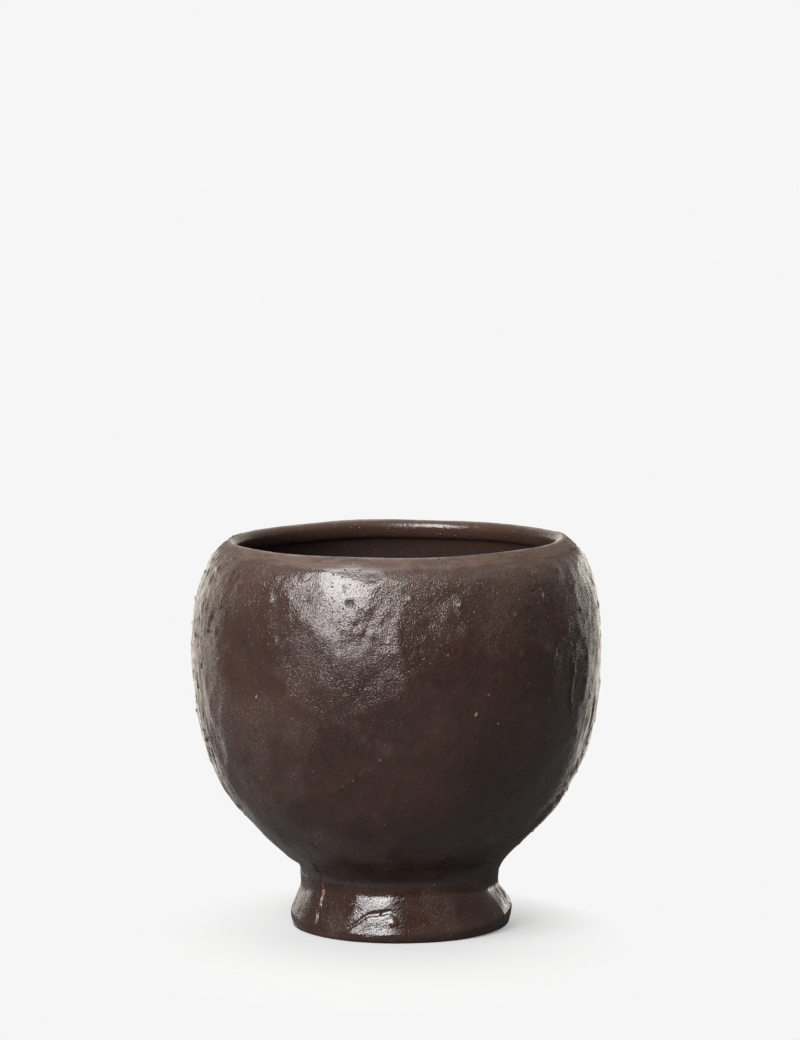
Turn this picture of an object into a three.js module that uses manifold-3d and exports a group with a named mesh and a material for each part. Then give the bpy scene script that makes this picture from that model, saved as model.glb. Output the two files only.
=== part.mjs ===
// A footed stoneware cup without a handle, shaped by hand. Four pieces of clay are joined wet and fired as one:
// a paddled bowl, a coil rolled over its edge as a lip, a flared foot ring, and the slip that lutes the foot on.
// Millimetres, +Z up. The origin is the middle of the ring that the cup stands on, and the front faces -Y.

import * as THREE from "three";
import { mergeVertices } from "three/addons/utils/BufferGeometryUtils.js";
import Module from "manifold-3d";

// Foot ring, from the standing face up to its neck
const FOOT_HEIGHT = 12;
const NECK_RADIUS = 21.6;
const FOOT_WALL = 6;
const FLARE_RADIUS = 24.5;
const FLARE_HEIGHT = 2.4;
const FLARE_UNDERCUT = 1.1;
const STANDING_WIDTH = 4.3;
const STANDING_CHAMFER = 0.8;
const NECK_DROP = 2.9;
const NECK_TURN = 1.6;

// Seam in the foot, where the ends of its strip of clay were butted together, counted from the front to the left
const SEAM_ANGLE = THREE.MathUtils.degToRad(49);
const SEAM_WIDTH = 0.7;
const SEAM_DEPTH = 0.6;
const SEAM_START = 2;

// Slip between the foot and the bowl, pressed out into a bead that is smoothed up the bowl
const SLIP_THICKNESS = 1;
const SLIP_BEAD = 1.8;
const SLIP_RISE = 3;

// Bowl, outside
const BOWL_FLARE_ANGLE = THREE.MathUtils.degToRad(42);
const BOWL_FLARE_HANDLE = 12;
const BELLY_RADIUS = 45;
const BELLY_RISE = 49.5;
const BELLY_HANDLE_DOWN = 29;
const BELLY_HANDLE_UP = 7;
const SHOULDER_RISE = 19;
const SHOULDER_RADIUS = 41.2;
const SHOULDER_ANGLE = THREE.MathUtils.degToRad(34);
const SHOULDER_HANDLE = 4;

// Bowl, inside
const WALL = 4.5;
const FLOOR = 6.5;
const INNER_BELLY_HANDLE = 32.5;
const FLOOR_HANDLE = 26;

// Lip: a coil on the bowl's edge, rolled over the inside
const LIP_HEIGHT = 4.3;
const LIP_OVERHANG = 1.6;
const LIP_ROUND = 1.7;
const LIP_HANDLE = 2.6;

// The hand's unevenness
const LOBES = 3;
const LOBE_RISE = 0.2;
const FOOT_OFF_CENTRE = 0.9;
const PADDLE_ROWS = 4;
const PADDLE_MARKS = 10;
const PADDLE_START = THREE.MathUtils.degToRad(-104);
const PADDLE_REACH = 9.5;
const PADDLE_DEPTH = 0.45;

// Fineness of the turned surfaces
const TURN_STEPS = 64;
const LONG_CURVE_STEPS = 12;
const SHORT_CURVE_STEPS = 6;

// Clearance by which a cutting tool runs past what it cuts
const CUT_PAST = 1;

const STONEWARE = { color: 0x3d2b26, roughness: 0.32, metalness: 0 };
const BARE_SLIP = { color: 0x35261f, roughness: 0.45, metalness: 0 };

// Heights above the table of the levels where the pieces meet
const slipTop = FOOT_HEIGHT + SLIP_THICKNESS;
const bellyHeight = slipTop + BELLY_RISE;
const lipSeat = bellyHeight + SHOULDER_RISE;

// Radii that neighbouring pieces share
const footBore = NECK_RADIUS - FOOT_WALL;
const bowlBaseRadius = NECK_RADIUS - SLIP_BEAD;
const flankRadius = NECK_RADIUS + SLIP_RISE / Math.tan(BOWL_FLARE_ANGLE);
const mouthRadius = SHOULDER_RADIUS - WALL;

const wasm = await Module();
wasm.setup();

// A point of an outline: radius and height, and whether the hand's unevenness reaches it
const formed = (r, z) => ({ r, z, uneven: true });
const round = (r, z) => ({ r, z, uneven: false });

// The points of a curve in the plane of an outline, each made by the function kind
function along(curve, steps, kind) {
  return curve.getPoints(steps).map(({ x, y }) => kind(x, y));
}

// A Bezier curve from four radius and height pairs
function bezier(from, leave, arrive, to) {
  return new THREE.CubicBezierCurve(...[from, leave, arrive, to].map(([r, z]) => new THREE.Vector2(r, z)));
}

// How far the outside lies from true round, at an angle from +X and a height above the table
function unevenness(angle, height) {
  const outOfRound = LOBE_RISE * Math.cos(LOBES * angle);
  const sunk = 1 - THREE.MathUtils.smoothstep(height, FLARE_HEIGHT, slipTop + SLIP_RISE);
  const offCentre = FOOT_OFF_CENTRE * sunk * Math.cos(angle);
  return outOfRound + offCentre - PADDLE_DEPTH * paddling(angle, height);
}

// The paddle's marks stand in rows round the bowl, each row half a mark on from the one above it
function paddling(angle, height) {
  const rowGap = (lipSeat - slipTop - SLIP_RISE) / PADDLE_ROWS;
  const markGap = (2 * Math.PI) / PADDLE_MARKS;
  let depth = 0;
  for (let row = 0; row < PADDLE_ROWS; row++) {
    const up = height - (lipSeat - (row + 0.5) * rowGap);
    const turned = (angle - PADDLE_START) / markGap - row / 2;
    const across = (turned - Math.round(turned)) * markGap * BELLY_RADIUS;
    const reach = (across ** 2 + up ** 2) / PADDLE_REACH ** 2;
    depth += Math.max(0, 1 - reach) ** 2;
  }
  return depth;
}

// Turns an outline about the Z axis. The piece stands at a height in the cup, which sets its unevenness.
function turned(outline, stand) {
  const profile = outline.map(({ r, z }) => new THREE.Vector2(r, z));
  const geometry = new THREE.LatheGeometry(profile, TURN_STEPS).rotateX(Math.PI / 2);
  const position = geometry.getAttribute("position");
  for (let i = 0; i < position.count; i++) {
    const { r, z, uneven } = outline[i % outline.length];
    if (!uneven) continue;
    const angle = Math.atan2(position.getY(i), position.getX(i));
    const radius = r + unevenness(angle, stand + z);
    position.setXY(i, radius * Math.cos(angle), radius * Math.sin(angle));
  }
  return geometry;
}

// A closed outline ends on the point that it starts from
const closed = (outline) => [...outline, outline[0]];

// A closed geometry as a solid for cutting
function solidOf(geometry) {
  const bare = geometry.clone().deleteAttribute("normal").deleteAttribute("uv");
  const merged = mergeVertices(bare, 1e-3);
  return new wasm.Manifold(
    new wasm.Mesh({
      numProp: 3,
      vertProperties: merged.getAttribute("position").array,
      triVerts: new Uint32Array(merged.index.array),
    }),
  );
}

// A solid as a geometry for a mesh
function geometryOf(solid) {
  const { vertProperties, triVerts } = solid.getMesh();
  const geometry = new THREE.BufferGeometry();
  geometry.setAttribute("position", new THREE.BufferAttribute(vertProperties, 3));
  geometry.setIndex(new THREE.BufferAttribute(triVerts, 1));
  geometry.computeVertexNormals();
  return geometry;
}

function piece(name, geometry, finish) {
  const mesh = new THREE.Mesh(geometry, new THREE.MeshStandardMaterial(finish));
  mesh.name = name;
  return mesh;
}

// The foot's outside: an upright neck that turns into a cone, and the edge rounded under to the standing face
function footFace() {
  const corner = FOOT_HEIGHT - NECK_DROP;
  const spread = (FLARE_RADIUS - NECK_RADIUS) / (corner - FLARE_HEIGHT);
  const cone = new THREE.LineCurve(
    new THREE.Vector2(NECK_RADIUS + NECK_TURN * spread, corner - NECK_TURN),
    new THREE.Vector2(FLARE_RADIUS, FLARE_HEIGHT),
  );
  const turn = new THREE.QuadraticBezierCurve(
    new THREE.Vector2(NECK_RADIUS, corner + NECK_TURN),
    new THREE.Vector2(NECK_RADIUS, corner),
    cone.v1,
  );
  const standingEdge = FLARE_RADIUS - FLARE_UNDERCUT;
  const under = new THREE.EllipseCurve(standingEdge, FLARE_HEIGHT, FLARE_UNDERCUT, FLARE_HEIGHT, 0, -Math.PI / 2, true);
  return [
    formed(NECK_RADIUS, FOOT_HEIGHT),
    ...along(turn, SHORT_CURVE_STEPS, formed),
    ...along(cone, SHORT_CURVE_STEPS, formed).slice(1),
    ...along(under, SHORT_CURVE_STEPS, formed).slice(1),
  ];
}

// A slot along the foot's outside at the seam: the face's own outline, set in by the depth and run out past the face
function seamSlot() {
  const angle = -Math.PI / 2 - SEAM_ANGLE;
  const face = footFace().filter(({ z }) => z >= SEAM_START);
  const inset = face.map(({ r, z }) => new THREE.Vector2(r + unevenness(angle, z) - SEAM_DEPTH, z));
  const top = new THREE.Vector2(inset[0].x, FOOT_HEIGHT + CUT_PAST);
  const outer = FLARE_RADIUS + FOOT_OFF_CENTRE + CUT_PAST;
  const shape = new THREE.Shape([
    top,
    ...inset,
    new THREE.Vector2(outer, inset.at(-1).y),
    new THREE.Vector2(outer, top.y),
  ]);
  const slot = new THREE.ExtrudeGeometry(shape, { depth: SEAM_WIDTH, bevelEnabled: false });
  return slot.translate(0, 0, -SEAM_WIDTH / 2).rotateX(Math.PI / 2).rotateZ(angle);
}

// A flared ring, hollow underneath, with a seam across its outside
function footRing() {
  const bore = FLARE_RADIUS - FLARE_UNDERCUT - STANDING_WIDTH;
  const outline = [
    ...footFace(),
    round(bore, 0),
    round(bore - STANDING_CHAMFER, STANDING_CHAMFER),
    round(footBore, FOOT_HEIGHT),
  ];
  const ring = solidOf(turned(closed(outline).reverse(), 0));
  return piece("foot_ring", geometryOf(ring.subtract(solidOf(seamSlot()))), STONEWARE);
}

// A washer of slip under the bowl, with the bead that fills the crease between the bowl's flank and the foot
function slipCollar() {
  const crest = SLIP_THICKNESS + SLIP_RISE;
  const corner = crest - (flankRadius - NECK_RADIUS) * Math.tan(BOWL_FLARE_ANGLE);
  const hollow = new THREE.QuadraticBezierCurve(
    new THREE.Vector2(NECK_RADIUS, 0),
    new THREE.Vector2(NECK_RADIUS, corner),
    new THREE.Vector2(flankRadius, crest),
  );
  const outline = [
    ...along(hollow, SHORT_CURVE_STEPS, formed).slice(0, -1),
    round(flankRadius, crest),
    round(bowlBaseRadius, SLIP_THICKNESS),
    round(footBore, SLIP_THICKNESS),
    round(footBore, 0),
  ];
  return piece("slip_collar", turned(closed(outline), FOOT_HEIGHT), BARE_SLIP);
}

// The bowl's shell, from the middle of its underside, up the outside, over the edge and down to the floor
function bowl() {
  const flank = [flankRadius, SLIP_RISE];
  const belly = [BELLY_RADIUS, BELLY_RISE];
  const edge = BELLY_RISE + SHOULDER_RISE;
  const innerBelly = BELLY_RADIUS - WALL;
  const leave = [
    flankRadius + BOWL_FLARE_HANDLE * Math.cos(BOWL_FLARE_ANGLE),
    SLIP_RISE + BOWL_FLARE_HANDLE * Math.sin(BOWL_FLARE_ANGLE),
  ];
  const lean = [SHOULDER_HANDLE * Math.sin(SHOULDER_ANGLE), SHOULDER_HANDLE * Math.cos(SHOULDER_ANGLE)];
  const swell = bezier(flank, leave, [BELLY_RADIUS, BELLY_RISE - BELLY_HANDLE_DOWN], belly);
  const gather = bezier(
    belly,
    [BELLY_RADIUS, BELLY_RISE + BELLY_HANDLE_UP],
    [SHOULDER_RADIUS + lean[0], edge - lean[1]],
    [SHOULDER_RADIUS, edge],
  );
  const innerGather = bezier(
    [mouthRadius, edge],
    [mouthRadius + lean[0], edge - lean[1]],
    [innerBelly, BELLY_RISE + BELLY_HANDLE_UP],
    [innerBelly, BELLY_RISE],
  );
  const hollow = bezier(
    [innerBelly, BELLY_RISE],
    [innerBelly, BELLY_RISE - INNER_BELLY_HANDLE],
    [FLOOR_HANDLE, FLOOR],
    [0, FLOOR],
  );
  const outline = [
    round(0, 0),
    round(bowlBaseRadius, 0),
    round(...flank),
    ...along(swell, LONG_CURVE_STEPS, formed).slice(1),
    ...along(gather, SHORT_CURVE_STEPS, formed).slice(1),
    ...along(innerGather, SHORT_CURVE_STEPS, round),
    ...along(hollow, LONG_CURVE_STEPS, round).slice(1),
  ];
  return piece("bowl", turned(outline, slipTop), STONEWARE);
}

// The coil of the lip: full outside, tight inside, and undercut where it hangs over the wall
function rimCoil() {
  const throat = mouthRadius - LIP_OVERHANG;
  const crest = throat + LIP_ROUND;
  const hang = LIP_HEIGHT - LIP_ROUND;
  const shoulder = bezier(
    [SHOULDER_RADIUS, 0],
    [SHOULDER_RADIUS - LIP_HANDLE * Math.sin(SHOULDER_ANGLE), LIP_HANDLE * Math.cos(SHOULDER_ANGLE)],
    [crest + LIP_HANDLE, LIP_HEIGHT],
    [crest, LIP_HEIGHT],
  );
  const roll = new THREE.EllipseCurve(crest, hang, LIP_ROUND, LIP_ROUND, Math.PI / 2, Math.PI, false);
  const undercut = new THREE.EllipseCurve(mouthRadius, hang, LIP_OVERHANG, hang, Math.PI, 1.5 * Math.PI, false);
  const outline = [
    ...along(shoulder, SHORT_CURVE_STEPS, formed),
    ...along(roll, SHORT_CURVE_STEPS, round).slice(1),
    ...along(undercut, SHORT_CURVE_STEPS, round).slice(1),
  ];
  return piece("rim_coil", turned(closed(outline), lipSeat), STONEWARE);
}

const footing = new THREE.Group();
const collar = slipCollar();
collar.position.z = FOOT_HEIGHT;
footing.add(footRing(), collar);

const vessel = new THREE.Group();
const lip = rimCoil();
lip.position.z = lipSeat - slipTop;
vessel.add(bowl(), lip);
vessel.position.z = slipTop;

const cup = new THREE.Group();
cup.name = "cup";
cup.add(footing, vessel);

export default cup;
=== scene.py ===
"""Dresses the footed stoneware cup: hand-formed clay, brown glaze and a plain studio.

The cup is spun as one closed body of clay from the outlines of its four pieces. It is then paddled, pinched,
pitted and set with grog as the potter's hand and the fire leave it, and parted along its joints into the foot
ring, the slip collar, the bowl and the lip. Sizes are in millimetres in the classes and in metres in Blender.
"""

import logging
import math
from collections.abc import Iterator
from contextlib import contextmanager
from dataclasses import dataclass, field
from enum import Enum

import bmesh
import bpy
import numpy as np
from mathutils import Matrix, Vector, noise
from mathutils.geometry import interpolate_bezier

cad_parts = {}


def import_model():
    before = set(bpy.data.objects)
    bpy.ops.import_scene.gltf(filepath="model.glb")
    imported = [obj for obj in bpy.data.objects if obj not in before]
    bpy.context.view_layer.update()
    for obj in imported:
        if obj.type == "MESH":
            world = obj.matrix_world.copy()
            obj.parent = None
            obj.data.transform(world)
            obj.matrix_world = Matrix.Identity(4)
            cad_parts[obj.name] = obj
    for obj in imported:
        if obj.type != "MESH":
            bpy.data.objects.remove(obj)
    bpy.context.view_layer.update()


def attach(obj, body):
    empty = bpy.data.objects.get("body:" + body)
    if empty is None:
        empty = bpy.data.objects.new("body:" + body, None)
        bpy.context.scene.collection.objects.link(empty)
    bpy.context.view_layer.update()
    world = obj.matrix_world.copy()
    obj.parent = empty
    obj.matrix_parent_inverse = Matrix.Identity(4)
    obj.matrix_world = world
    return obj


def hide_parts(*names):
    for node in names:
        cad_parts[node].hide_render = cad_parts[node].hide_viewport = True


LOG = logging.getLogger("cup")
MM = 0.001
BODY = "root"
MEASURE_STEPS = 24  # points that a curve's length is measured with
MERGE = 0.02  # points of clay nearer than this are one, in millimetres
SKIN_RADIUS = 43.0  # where an angle on the outside is taken as a length, in millimetres
GOLDEN_ANGLE = 137.508  # degrees from one blow of the paddle to the next
WEIGHT_STEPS = 60  # how finely the strength of a grain is told apart

Point = tuple[float, float]
Range = tuple[float, float]
Outline = list[Point]
Triple = tuple[float, float, float]
Colour = Triple


class Node(Enum):
    """The pieces of clay, by the names of their nodes."""

    FOOT = "foot_ring"
    COLLAR = "slip_collar"
    BOWL = "bowl"
    LIP = "rim_coil"


class Slot(Enum):
    """The record's material slots."""

    GLAZE = "brown_glaze"
    SLIP = "glazed_slip"
    LIP = "lip_glaze"


def curve(start: Point, leave: Point, arrive: Point, end: Point, spacing: float) -> Outline:
    """Lays points along a Bezier curve.

    Args:
        start: First knot, as radius and height.
        leave: Handle of the first knot.
        arrive: Handle of the last knot.
        end: Last knot.
        spacing: Distance to keep between points, in millimetres.

    Returns:
        The points, with both knots.
    """
    knots = [Vector((*point, 0.0)) for point in (start, leave, arrive, end)]
    rough = interpolate_bezier(*knots, MEASURE_STEPS)
    length = sum((b - a).length for a, b in zip(rough, rough[1:]))
    count = max(3, round(length / spacing) + 1)
    return [(point.x, point.y) for point in interpolate_bezier(*knots, count)]


def straight(start: Point, end: Point, spacing: float) -> Outline:
    """Lays points along a straight line, as curve does along a Bezier curve."""
    third = [(start[i] + (end[i] - start[i]) / 3, start[i] + 2 * (end[i] - start[i]) / 3) for i in (0, 1)]
    return curve(start, (third[0][0], third[1][0]), (third[0][1], third[1][1]), end, spacing)


def arc(centre: Point, radii: Point, first: float, last: float, spacing: float) -> Outline:
    """Lays points along part of an ellipse.

    Args:
        centre: Middle of the ellipse, as radius and height.
        radii: Its half widths.
        first: Angle to start from, in degrees.
        last: Angle to end at, in degrees.
        spacing: Distance to keep between points, in millimetres.

    Returns:
        The points, with both ends.
    """
    length = math.radians(abs(last - first)) * max(radii)
    angles = np.radians(np.linspace(first, last, max(3, round(length / spacing) + 1)))
    return [(centre[0] + radii[0] * math.cos(a), centre[1] + radii[1] * math.sin(a)) for a in angles]


def joined(*runs: Outline) -> Outline:
    """Strings runs of points together, with each shared end kept once.

    Args:
        runs: The runs, each beginning where the last one ends.

    Returns:
        All their points.
    """
    points = list(runs[0])
    for run in runs[1:]:
        points.extend(run[1:])
    return points


@dataclass
class FootRing:
    """The flared ring that the cup stands on."""

    height: float = 12.0
    neck_radius: float = 21.6
    wall: float = 6.0
    flare_radius: float = 24.5
    flare_height: float = 1.9
    flare_undercut: float = 0.9
    standing_width: float = 4.5
    standing_chamfer: float = 0.8
    cone_radius: float = 21.95
    cone_height: float = 8.0
    neck_height: float = 10.2
    neck_ease: float = 0.06
    spacing: float = 0.28
    flare_spacing: float = 0.3
    chamfer_spacing: float = 0.4
    standing_spacing: float = 0.6
    bore_spacing: float = 1.2

    @property
    def bore(self) -> float:
        """Radius of the hollow at the foot's top."""
        return self.neck_radius - self.wall

    def hollow(self) -> Outline:
        """The inside, from its top down to the standing face.

        Returns:
            Its points, as radius and height.
        """
        edge = self.flare_radius - self.flare_undercut - self.standing_width
        lip = (edge - self.standing_chamfer, self.standing_chamfer)
        return joined(
            straight((self.bore, self.height), lip, self.bore_spacing),
            straight(lip, (edge, 0.0), self.chamfer_spacing),
            straight((edge, 0.0), (edge + self.standing_width, 0.0), self.standing_spacing),
        )

    def face(self) -> Outline:
        """The outside, from the standing face over the flare and up the cone to the neck.

        Returns:
            Its points, as radius and height.
        """
        centre = (self.flare_radius - self.flare_undercut, self.flare_height)
        under = arc(centre, (self.flare_undercut, self.flare_height), -90.0, 0.0, self.flare_spacing)
        low, high = (self.flare_radius, self.flare_height), (self.cone_radius, self.cone_height)
        cone = straight(low, high, self.spacing)
        third = (self.neck_height - self.cone_height) / 3
        turn = curve(
            (self.cone_radius, self.cone_height),
            (self.neck_radius + self.neck_ease, self.cone_height + third),
            (self.neck_radius, self.neck_height - third),
            (self.neck_radius, self.neck_height),
            self.spacing,
        )
        neck = straight((self.neck_radius, self.neck_height), (self.neck_radius, self.height), self.spacing)
        return joined(under, cone, turn, neck)


@dataclass
class SlipCollar:
    """The slip between the foot and the bowl, with its bead in the crease."""

    foot: FootRing
    thickness: float = 1.0
    bead: float = 1.8
    rise: float = 3.0
    flare_angle: float = 42.0
    spacing: float = 0.45
    bore_spacing: float = 0.5

    @property
    def top(self) -> float:
        """Height of the slip's upper face."""
        return self.foot.height + self.thickness

    @property
    def crest(self) -> Point:
        """Where the bead runs out on the bowl's flank."""
        reach = self.rise / math.tan(math.radians(self.flare_angle))
        return (self.foot.neck_radius + reach, self.top + self.rise)

    @property
    def inner_edge(self) -> float:
        """Radius at which the bead meets the bowl's flat underside."""
        return self.foot.neck_radius - self.bead

    def bore(self) -> Outline:
        """The hole through the slip, from its upper face down."""
        return straight((self.foot.bore, self.top), (self.foot.bore, self.foot.height), self.bore_spacing)

    def face(self) -> Outline:
        """The hollow outside of the bead, from the neck up.

        Returns:
            Its points, as radius and height.
        """
        start = (self.foot.neck_radius, self.foot.height)
        corner = (self.foot.neck_radius, self.top)
        leave = tuple(s + 2 / 3 * (c - s) for s, c in zip(start, corner))
        arrive = tuple(e + 2 / 3 * (c - e) for e, c in zip(self.crest, corner))
        return curve(start, leave, arrive, self.crest, self.spacing)


@dataclass
class Bowl:
    """The paddled shell that holds the drink."""

    collar: SlipCollar
    flare_handle: float = 12.0
    belly_radius: float = 45.0
    belly_rise: float = 49.5
    belly_handle_down: float = 29.0
    belly_handle_up: float = 7.0
    shoulder_rise: float = 19.0
    shoulder_radius: float = 41.2
    shoulder_angle: float = 34.0
    shoulder_handle: float = 4.0
    wall: float = 4.5
    floor: float = 6.5
    inner_handle: float = 32.5
    floor_handle: float = 26.0
    spacing: float = 0.58
    inner_spacing: float = 1.3
    ceiling_spacing: float = 2.0

    @property
    def belly(self) -> Point:
        """The widest point of the outside."""
        return (self.belly_radius, self.collar.top + self.belly_rise)

    @property
    def edge(self) -> Point:
        """The outer corner of the flat edge that the lip sits on."""
        return (self.shoulder_radius, self.belly[1] + self.shoulder_rise)

    @property
    def mouth_radius(self) -> float:
        """Radius of the inside at that edge."""
        return self.shoulder_radius - self.wall

    def lean(self) -> Point:
        """How far the outline moves in and up along the handle under the lip."""
        angle = math.radians(self.shoulder_angle)
        return (self.shoulder_handle * math.sin(angle), self.shoulder_handle * math.cos(angle))

    def underside(self) -> Outline:
        """The flat ceiling over the foot's hollow, from the axis out."""
        return straight((0.0, self.collar.top), (self.collar.foot.bore, self.collar.top), self.ceiling_spacing)

    def face(self) -> Outline:
        """The outside, from the slip's bead up to the lip.

        Returns:
            Its points, as radius and height.
        """
        flank = self.collar.crest
        angle = math.radians(self.collar.flare_angle)
        leave = (flank[0] + self.flare_handle * math.cos(angle), flank[1] + self.flare_handle * math.sin(angle))
        in_by, down_by = self.lean()
        arrive = (self.belly_radius, self.belly[1] - self.belly_handle_down)
        swell = curve(flank, leave, arrive, self.belly, self.spacing)
        gather = curve(
            self.belly,
            (self.belly_radius, self.belly[1] + self.belly_handle_up),
            (self.edge[0] + in_by, self.edge[1] - down_by),
            self.edge,
            self.spacing,
        )
        return joined(swell, gather)

    def hollow(self) -> Outline:
        """The inside, from under the lip down to the middle of the floor.

        Returns:
            Its points, as radius and height.
        """
        in_by, down_by = self.lean()
        inner = self.belly_radius - self.wall
        level = self.collar.top + self.floor
        gather = curve(
            (self.mouth_radius, self.edge[1]),
            (self.mouth_radius + in_by, self.edge[1] - down_by),
            (inner, self.belly[1] + self.belly_handle_up),
            (inner, self.belly[1]),
            self.inner_spacing,
        )
        basin = curve(
            (inner, self.belly[1]),
            (inner, self.belly[1] - self.inner_handle),
            (self.floor_handle, level),
            (0.0, level),
            self.inner_spacing,
        )
        return joined(gather, basin)


@dataclass
class Lip:
    """The coil rolled over the bowl's edge."""

    bowl: Bowl
    height: float = 4.3
    overhang: float = 1.6
    round: float = 1.7
    brow: Point = (0.6, 0.4)
    brow_handle: Point = (0.2, 0.22)
    crest_handle: float = 0.3
    handle: float = 2.3
    tuck: float = 1.0
    spacing: float = 0.4

    @property
    def top(self) -> float:
        """Height of the crest."""
        return self.bowl.edge[1] + self.height

    def face(self) -> Outline:
        """The coil's surface, from the bowl's outside over the crest to the bowl's inside.

        Returns:
            Its points, as radius and height.
        """
        radius, seat = self.bowl.edge
        throat = self.bowl.mouth_radius - self.overhang
        crest = throat + self.round
        hang = seat + self.height - self.round
        top = self.top
        brow = (crest + self.brow[0], top - self.brow[1])
        angle = math.radians(self.bowl.shoulder_angle)
        band = curve(
            (radius, seat),
            (radius - self.handle * math.sin(angle), seat + self.handle * math.cos(angle)),
            (brow[0] + self.tuck * math.cos(angle), brow[1] - self.tuck * math.sin(angle)),
            brow,
            self.spacing,
        )
        leave = (brow[0] - self.brow_handle[0], brow[1] + self.brow_handle[1])
        tip = curve(brow, leave, (crest + self.crest_handle, top), (crest, top), self.spacing / 2)
        roll = arc((crest, hang), (self.round, self.round), 90.0, 180.0, self.spacing)
        undercut = arc((self.bowl.mouth_radius, hang), (self.overhang, hang - seat), 180.0, 270.0, self.spacing)
        return joined(band, tip, roll, undercut)


@dataclass(frozen=True)
class PaddleMark:
    """One blow of the paddle: where it lands, how deep, and how its face leans up and turns to the right."""

    angle: float
    height: float
    depth: float
    lean: float = 0.0
    turn: float = 0.0


@dataclass(frozen=True)
class Blemish:
    """A grain of grog that stands proud, with a positive height, or a pit, with a negative one."""

    angle: float
    height: float
    width: float
    rise: float
    tint: float = 0.0


@dataclass(frozen=True)
class Patch:
    """A place where the clay's grain, or the glaze's haze and its painted sheen, is stronger or weaker than
    round it.
    """

    angle: float
    height: float
    reach: float
    level: float = 1.0

    def near(self, angle: np.ndarray, height: np.ndarray) -> np.ndarray:
        """How near each point lies to the patch's middle, from 0 far off to 1."""
        return np.exp(-(around(angle, self.angle) ** 2 + (height - self.height) ** 2) / self.reach**2)


@dataclass(frozen=True)
class Grain:
    """One roughness of the clay.

    Its lumps have a size, some finer layers and a height from hollow to crest, in millimetres. They can be
    drawn out taller than wide, which gives them hard edges, and lean to the right at the front, in degrees.
    """

    name: str
    size: float
    layers: int
    rise: float
    draw: float = 1.0
    tilt: float = 0.0


PINCH = Grain("pinch", 17.0, 2, 0.9)
DRAG = Grain("drag", 4.0, 2, 1.2)
SCRAPE = Grain("scrape", 1.8, 1, 0.4, 5.0, 48.0)
GRIT = Grain("grit", 1.2, 1, 0.35)
STREAKS = Grain("streaks", 2.3, 2, -0.8, 5.0)
FINGERS = Grain("fingers", 15.0, 1, 0.9)

FRONT_MARKS = tuple(
    PaddleMark(*row)
    for row in (
        (-17.0, 77.0, 0.65, 6.5, 0.5), (-11.0, 82.0, 0.52, -1.4, -1.7), (-27.0, 76.0, 0.36, 6.5, 3.7),
        (-16.0, 71.0, 0.36, 7.2, 0.0), (-5.0, 77.0, 0.55, -0.7, 2.6), (-8.0, 70.0, 0.68, 2.3, 0.3),
        (-34.0, 70.0, 0.55, 0.0, -4.0), (-26.0, 66.5, 0.45, -1.0, -3.0), (7.0, 76.0, 0.78, 0.0, 2.0),
        (6.5, 71.5, 0.70, 0.0, 3.5), (24.0, 74.0, 0.50, 2.0, 2.0), (44.0, 75.0, 0.55, -3.0, 3.0),
        (-48.0, 55.0, 0.55, 3.0, 6.0), (-4.0, 52.0, 0.35, 0.0, 2.0), (20.0, 54.0, 0.35, 0.0, 0.0),
    )
)

FRONT_BLEMISHES = tuple(
    Blemish(*row)
    for row in (
        (-13.3, 76.3, 0.8, -0.65), (-15.8, 80.2, 0.5, -0.14), (-10.1, 70.6, 1.0, 0.60),
        (-6.5, 69.8, 0.9, 0.50, 0.3),
        (-2.5, 68.6, 0.7, 0.40, 1.0), (-7.5, 82.1, 0.6, 0.20, 0.8), (3.9, 77.7, 0.8, 0.50, 0.8),
        (18.2, 76.2, 0.8, 0.45, 0.8), (35.6, 73.8, 0.8, 0.45, 0.9), (-38.2, 76.0, 1.2, 0.60, 0.4),
        (-57.4, 62.5, 0.7, 0.25, 0.6), (-42.8, 54.9, 0.6, 0.20, 0.8), (-4.3, 43.1, 0.6, 0.16, 0.6),
        (-12.7, 38.7, 0.6, 0.16, 0.6), (22.4, 52.5, 0.5, 0.14, 1.0), (-1.3, 4.4, 0.8, 0.32),
        (47.6, 76.4, 0.5, 0.2, 0.9), (47.2, 77.3, 0.5, 0.2, 0.9), (46.6, 78.2, 0.4, 0.16, 0.8),
        (43.4, 78.6, 0.5, 0.16, 0.7), (45.1, 75.4, 0.4, 0.14, 0.7), (47.6, 54.3, 0.5, 0.16, 0.6),
        (-24.7, 77.0, 0.9, 0.3, 0.2), (-15.3, 65.4, 0.6, 0.2, 0.5), (-28.2, 81.2, 1.2, 0.3),
        (14.0, 73.4, 0.7, 0.2, 0.2), (8.4, 69.2, 0.6, 0.2, 0.3), (-51.0, 52.7, 0.5, 0.16, 0.4),
    )
)

GRAIN_PATCHES = tuple(
    Patch(*row)
    for row in (
        (0.0, 36.0, 24.0, 0.3), (-60.0, 40.0, 22.0, 0.4), (60.0, 40.0, 22.0, 0.4), (-36.0, 72.0, 9.0, 0.45),
        (30.0, 68.0, 9.0, 0.35), (-15.5, 78.0, 6.5, 0.12), (-27.0, 75.0, 5.0, 0.9), (-25.0, 68.0, 7.0, 0.85),
        (-6.0, 70.5, 8.0, 0.7), (12.0, 77.0, 7.0, 0.8), (-70.0, 66.0, 13.0, 0.8), (74.0, 64.0, 14.0, 0.8),
        (-2.0, 60.0, 8.0, 0.85), (-18.0, 50.0, 9.0, 0.7), (20.0, 80.0, 6.0, 1.2), (36.0, 79.0, 5.0, 0.9),
    )
)

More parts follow.
